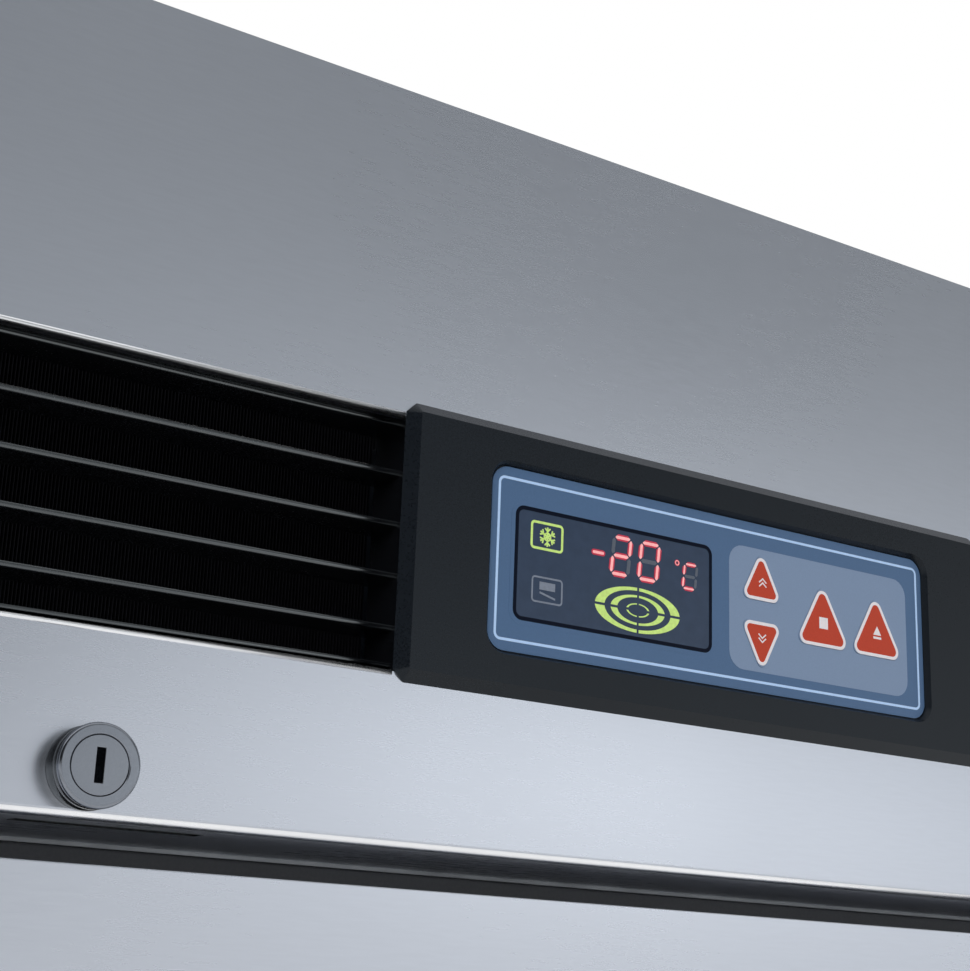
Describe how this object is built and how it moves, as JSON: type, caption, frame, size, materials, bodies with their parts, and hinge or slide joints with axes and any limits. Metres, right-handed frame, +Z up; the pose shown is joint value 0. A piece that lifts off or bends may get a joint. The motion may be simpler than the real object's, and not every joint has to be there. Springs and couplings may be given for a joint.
{
  "type": "laboratory refrigerator",
  "caption": "Tall upright laboratory freezer with one hinged door, a louvred stainless control fascia with a digital display, a cam lock and swivel casters",
  "frame": {"origin": "on the floor, under the middle of the cabinet's bounding box", "axes": "+Z up, the door and the control fascia face -Y, +X to the right seen from the front"},
  "size_m": [0.724, 0.8196, 2.108],
  "materials": {
    "stainless": "fine horizontal grain",
    "galvanised": "satin grey",
    "foam": "rigid foam",
    "liner_white": "satin white",
    "frame_grey": "matt",
    "dark_steel": "semi-gloss black",
    "white_plastic": "matt",
    "black_plastic": "fine moulded grain",
    "overlay_blue": "printed film, satin",
    "window_dark": "smooth dark window",
    "key_red": "printed film, satin",
    "board_green": "solder resist",
    "lock_chrome": "satin chrome",
    "zinc": "zinc plate",
    "shelf_wire": "coated wire",
    "fins": "plain",
    "copper": "drawn copper tube",
    "gasket_grey": "matt",
    "wheel_grey": "matt",
    "pedal_red": "semi-gloss"
  },
  "bodies": {
    "cabinet": {"side_panel_left": "stainless", "side_panel_right": "stainless", "fascia_panel": "stainless", "back_panel": "galvanised", "bottom_panel": "galvanised", "deck_plate": "galvanised", "rear_guard": "galvanised", "electrical_box": "galvanised", "insulation": "foam", "liner": "liner_white", "evaporator_cover": "liner_white", "breaker_frame": "frame_grey", "base_frame": "dark_steel", "condenser_shroud": "dark_steel", "condenser_motor": "dark_steel", "evaporator_motor": "dark_steel", "compressor": "dark_steel", "condenser_coil": "dark_steel", "probe_port": "white_plastic", "louvre_left": "black_plastic", "louvre_right": "black_plastic", "bezel": "black_plastic", "control_housing": "black_plastic", "overlay": "overlay_blue", "display_window": "window_dark", "control_board": "board_green", "lock_body": "lock_chrome", "lock_nut": "zinc", "hinge_brackets": "zinc", "caster_plates": "zinc", "shelf_clips": "zinc", "pilasters": "zinc", "wire_shelves": "shelf_wire", "evaporator_coil": "fins", "refrigerant_lines": "copper"},
    "door": {"door_skin": "stainless", "door_foam": "foam", "door_liner": "liner_white", "door_gasket": "gasket_grey", "handle_cup": "black_plastic", "hinge_bushes": "white_plastic", "lock_strike": "zinc"},
    "lock": {"lock_plug": "lock_chrome", "lock_cam": "zinc"},
    "up_key": {"key_up": "key_red"},
    "down_key": {"key_down": "key_red"},
    "square_key": {"key_square": "key_red"},
    "bar_key": {"key_bar": "key_red"},
    "condenser_wheel": {"condenser_fan": "black_plastic"},
    "evaporator_wheel": {"evaporator_fan": "black_plastic"},
    "swivel_front_left": {"fork_front_left": "zinc"},
    "roller_front_left": {"wheel_front_left": "wheel_grey"},
    "swivel_front_right": {"fork_front_right": "zinc"},
    "roller_front_right": {"wheel_front_right": "wheel_grey"},
    "swivel_rear_left": {"fork_rear_left": "zinc"},
    "roller_rear_left": {"wheel_rear_left": "wheel_grey"},
    "swivel_rear_right": {"fork_rear_right": "zinc"},
    "roller_rear_right": {"wheel_rear_right": "wheel_grey"},
    "brake_left": {"pedal_left": "pedal_red"},
    "brake_right": {"pedal_right": "pedal_red"}
  },
  "joints": [
    {"name": "door_hinge", "type": "hinge", "parent": "cabinet", "child": "door", "pos_m": [0.346, -0.36225, 1], "axis": [0, 0, 1], "range_deg": [0, 110]},
    {"name": "lock_turn", "type": "hinge", "parent": "cabinet", "child": "lock", "pos_m": [-0.2126, -0.40025, 1.8844], "axis": [0, 1, 0], "range_deg": [0, 90]},
    {"name": "up_key_press", "type": "slide", "parent": "cabinet", "child": "up_key", "axis": [0, 1, 0], "range_m": [0, 0.0006], "stiffness_N_per_m": 800},
    {"name": "down_key_press", "type": "slide", "parent": "cabinet", "child": "down_key", "axis": [0, 1, 0], "range_m": [0, 0.0006], "stiffness_N_per_m": 800},
    {"name": "square_key_press", "type": "slide", "parent": "cabinet", "child": "square_key", "axis": [0, 1, 0], "range_m": [0, 0.0006], "stiffness_N_per_m": 800},
    {"name": "bar_key_press", "type": "slide", "parent": "cabinet", "child": "bar_key", "axis": [0, 1, 0], "range_m": [0, 0.0006], "stiffness_N_per_m": 800},
    {"name": "condenser_fan_spin", "type": "hinge", "parent": "cabinet", "child": "condenser_wheel", "pos_m": [-0.17, -0.19725, 1.9684], "axis": [0, 1, 0], "continuous": true},
    {"name": "evaporator_fan_spin", "type": "hinge", "parent": "cabinet", "child": "evaporator_wheel", "pos_m": [0, 0.03175, 1.7364], "axis": [0, 1, 0], "continuous": true},
    {"name": "swivel_front_left_turn", "type": "hinge", "parent": "cabinet", "child": "swivel_front_left", "pos_m": [-0.28, -0.24425, 0.112], "axis": [0, 0, 1], "continuous": true},
    {"name": "roller_front_left_roll", "type": "hinge", "parent": "swivel_front_left", "child": "roller_front_left", "pos_m": [-0.28, -0.27825, 0.05], "axis": [1, 0, 0], "continuous": true},
    {"name": "swivel_front_right_turn", "type": "hinge", "parent": "cabinet", "child": "swivel_front_right", "pos_m": [0.28, -0.24425, 0.112], "axis": [0, 0, 1], "continuous": true},
    {"name": "roller_front_right_roll", "type": "hinge", "parent": "swivel_front_right", "child": "roller_front_right", "pos_m": [0.28, -0.27825, 0.05], "axis": [1, 0, 0], "continuous": true},
    {"name": "swivel_rear_left_turn", "type": "hinge", "parent": "cabinet", "child": "swivel_rear_left", "pos_m": [-0.28, 0.32375, 0.112], "axis": [0, 0, 1], "continuous": true},
    {"name": "roller_rear_left_roll", "type": "hinge", "parent": "swivel_rear_left", "child": "roller_rear_left", "pos_m": [-0.28, 0.35775, 0.05], "axis": [1, 0, 0], "continuous": true},
    {"name": "swivel_rear_right_turn", "type": "hinge", "parent": "cabinet", "child": "swivel_rear_right", "pos_m": [0.28, 0.32375, 0.112], "axis": [0, 0, 1], "continuous": true},
    {"name": "roller_rear_right_roll", "type": "hinge", "parent": "swivel_rear_right", "child": "roller_rear_right", "pos_m": [0.28, 0.35775, 0.05], "axis": [1, 0, 0], "continuous": true},
    {"name": "brake_left_press", "type": "hinge", "parent": "swivel_front_left", "child": "brake_left", "pos_m": [-0.28, -0.31225, 0.104], "axis": [1, 0, 0], "range_deg": [0, 15]},
    {"name": "brake_right_press", "type": "hinge", "parent": "swivel_front_right", "child": "brake_right", "pos_m": [0.28, -0.31225, 0.104], "axis": [1, 0, 0], "range_deg": [0, 15]}
  ]
}
